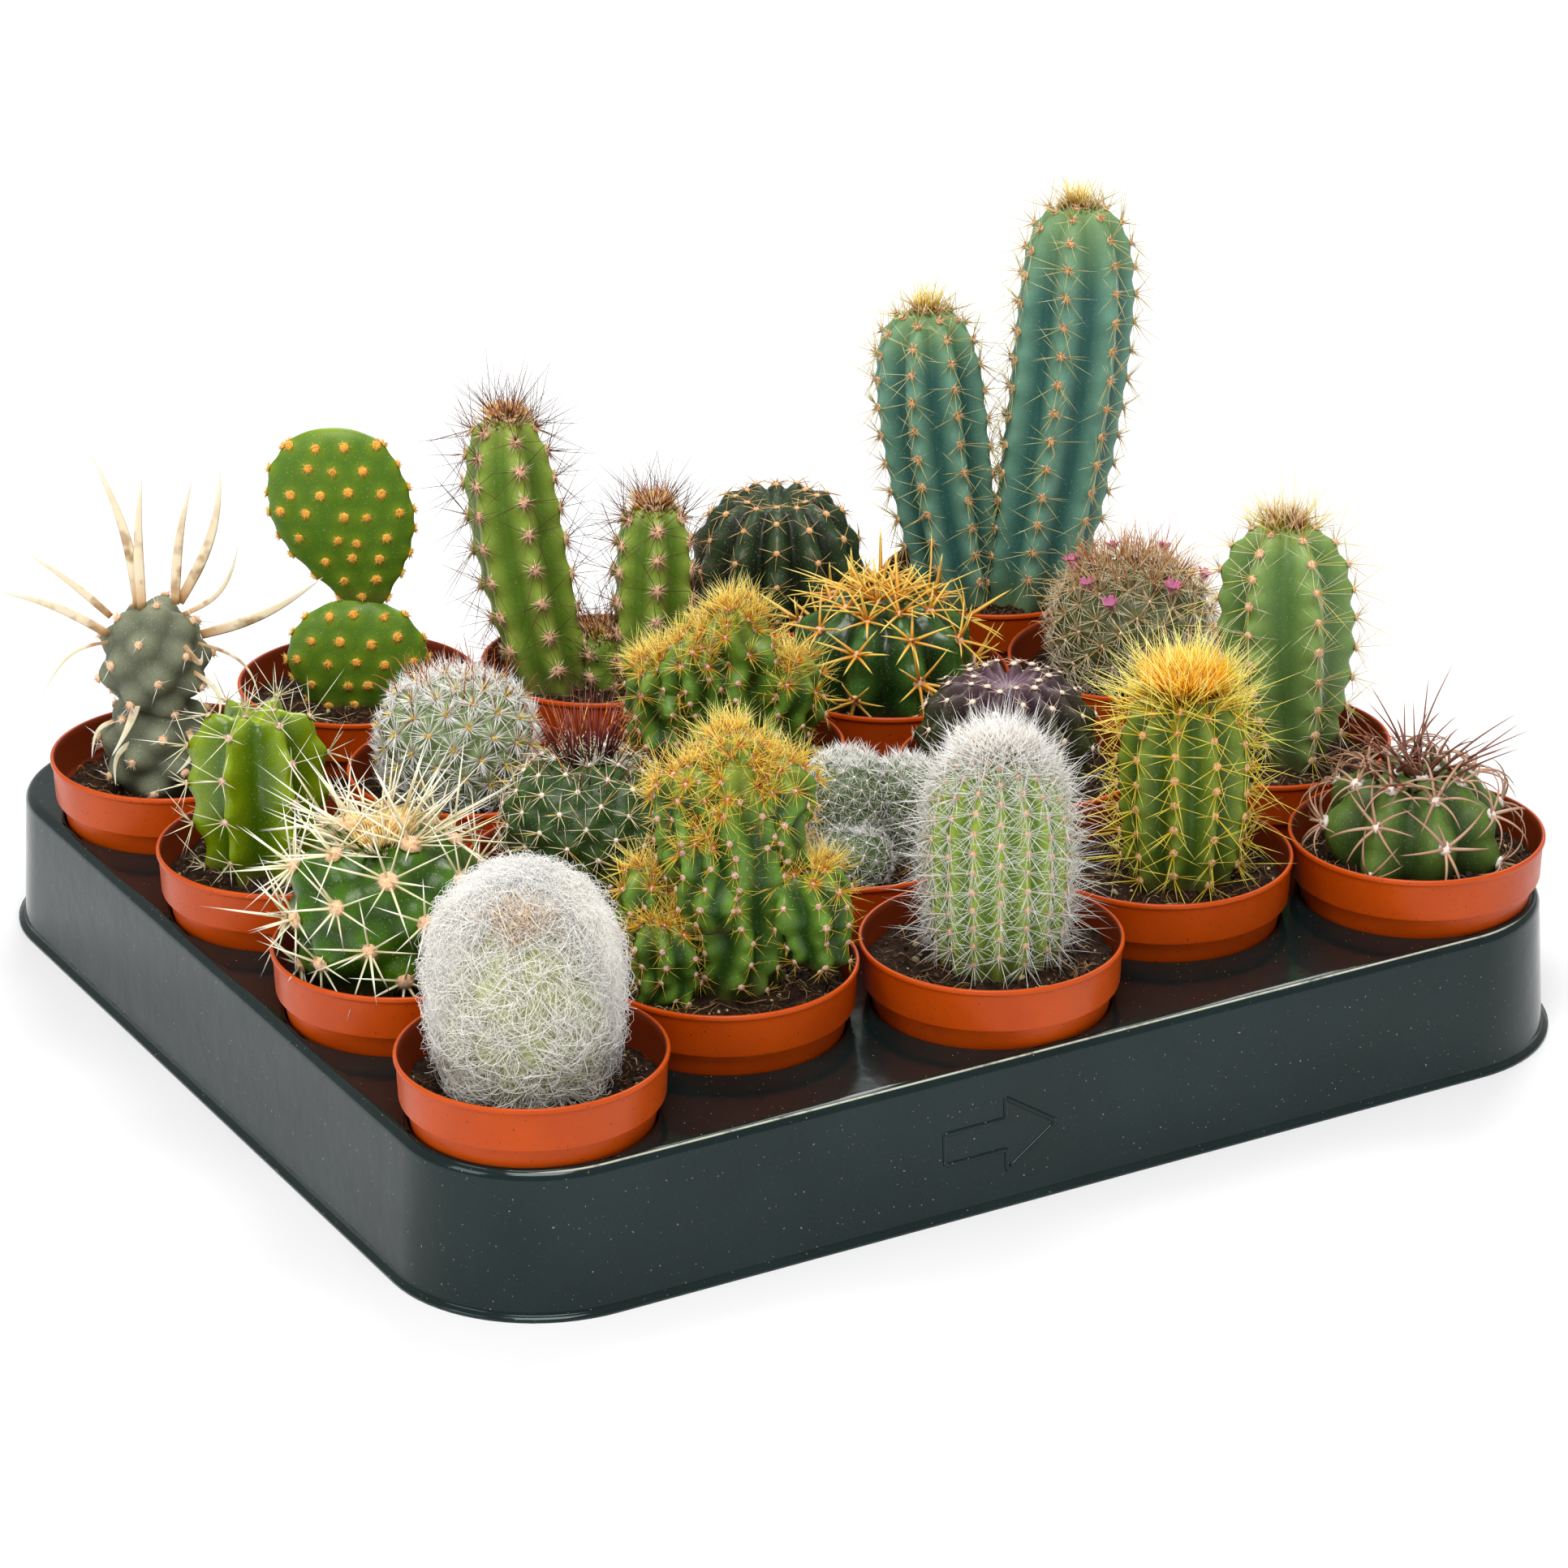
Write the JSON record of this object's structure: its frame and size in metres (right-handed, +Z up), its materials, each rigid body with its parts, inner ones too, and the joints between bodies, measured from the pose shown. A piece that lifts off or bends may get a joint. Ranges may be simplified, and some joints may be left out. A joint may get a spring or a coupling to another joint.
{
  "type": "potted mixed cacti",
  "caption": "Mixed small cacti, each in its own round terracotta-coloured pot, standing in the cups of a black moulded carry tray.",
  "frame": {"origin": "on the floor, under the middle of the tray", "axes": "+Z up, +X along the tray's long side, +Y along its short side, away from the front face"},
  "size_m": [0.2746, 0.252, 0.1388],
  "materials": {
    "black_tray_plastic": "glossy black thermoformed sheet",
    "terracotta_pot_plastic": "satin terracotta-orange moulded plastic",
    "potting_mix": "dark fibrous peat with grit",
    "amber_barrel_flesh": "glossy dark green ribs with thick amber spines",
    "apple_column_flesh": "scalloped green ribs with fine tan spines",
    "blue_column_flesh": "waxy blue-green ribs with golden spines",
    "bunny_ear_flesh": "bright green pads with rows of orange-yellow dots",
    "chin_flesh": "matte dark green, curved pinkish brown spines",
    "dark_globe_flesh": "dark green ribs with pinkish tan spine stars",
    "golden_barrel_flesh": "glossy dark green tubercles, cream spines on peach wool",
    "golden_monstrose_back_flesh": "knobbly green flesh with short golden spines",
    "golden_monstrose_front_flesh": "knobbly green flesh with short golden spines",
    "lime_column_flesh": "glossy lime green ribs with white spine stars",
    "old_man_flesh": "pale green flesh under long white silky wool",
    "paper_spine_flesh": "grey-green tubercles with long papery spines",
    "pink_crown_flesh": "tan and red-brown spines with a ring of small pink flowers",
    "powder_puff_flesh": "covered in very short white spines; dark potting mix below",
    "purple_globe_flesh": "dark purple-green ribs with small cream spines",
    "red_crown_flesh": "dark green with starry spines, red-brown at the crown",
    "silver_torch_flesh": "light green ribs under fine silver spines",
    "snowball_flesh": "green tubercles under white hair-like spines",
    "twin_green_column_flesh": "bright green ribs with dark brown spines",
    "yellow_needle_flesh": "green ribs with long yellow needle spines"
  },
  "bodies": {
    "root": {"amber_barrel_cactus": "amber_barrel_flesh", "apple_column_cactus": "apple_column_flesh", "blue_column_cactus": "blue_column_flesh", "bunny_ear_cactus": "bunny_ear_flesh", "chin_cactus": "chin_flesh", "dark_globe_cactus": "dark_globe_flesh", "golden_barrel_cactus": "golden_barrel_flesh", "golden_monstrose_back_cactus": "golden_monstrose_back_flesh", "golden_monstrose_front_cactus": "golden_monstrose_front_flesh", "lime_column_cactus": "lime_column_flesh", "old_man_cactus": "old_man_flesh", "paper_spine_cactus": "paper_spine_flesh", "pink_crown_cactus": "pink_crown_flesh", "pot_amber_barrel": "terracotta_pot_plastic", "pot_apple_column": "terracotta_pot_plastic", "pot_blue_column": "terracotta_pot_plastic", "pot_bunny_ear": "terracotta_pot_plastic", "pot_chin": "terracotta_pot_plastic", "pot_dark_globe": "terracotta_pot_plastic", "pot_golden_barrel": "terracotta_pot_plastic", "pot_golden_monstrose_back": "terracotta_pot_plastic", "pot_golden_monstrose_front": "terracotta_pot_plastic", "pot_lime_column": "terracotta_pot_plastic", "pot_old_man": "terracotta_pot_plastic", "pot_paper_spine": "terracotta_pot_plastic", "pot_pink_crown": "terracotta_pot_plastic", "pot_powder_puff": "terracotta_pot_plastic", "pot_purple_globe": "terracotta_pot_plastic", "pot_red_crown": "terracotta_pot_plastic", "pot_silver_torch": "terracotta_pot_plastic", "pot_snowball": "terracotta_pot_plastic", "pot_twin_green_column": "terracotta_pot_plastic", "pot_yellow_needle": "terracotta_pot_plastic", "powder_puff_cactus": "powder_puff_flesh", "purple_globe_cactus": "purple_globe_flesh", "red_crown_cactus": "red_crown_flesh", "silver_torch_cactus": "silver_torch_flesh", "snowball_cactus": "snowball_flesh", "soil_amber_barrel": "potting_mix", "soil_apple_column": "potting_mix", "soil_blue_column": "potting_mix", "soil_bunny_ear": "potting_mix", "soil_chin": "potting_mix", "soil_dark_globe": "potting_mix", "soil_golden_barrel": "potting_mix", "soil_golden_monstrose_back": "potting_mix", "soil_golden_monstrose_front": "potting_mix", "soil_lime_column": "potting_mix", "soil_old_man": "potting_mix", "soil_paper_spine": "potting_mix", "soil_pink_crown": "potting_mix", "soil_purple_globe": "potting_mix", "soil_red_crown": "potting_mix", "soil_silver_torch": "potting_mix", "soil_snowball": "potting_mix", "soil_twin_green_column": "potting_mix", "soil_yellow_needle": "potting_mix", "tray": "black_tray_plastic", "twin_green_column_cactus": "twin_green_column_flesh", "yellow_needle_cactus": "yellow_needle_flesh"}
  },
  "joints": []
}
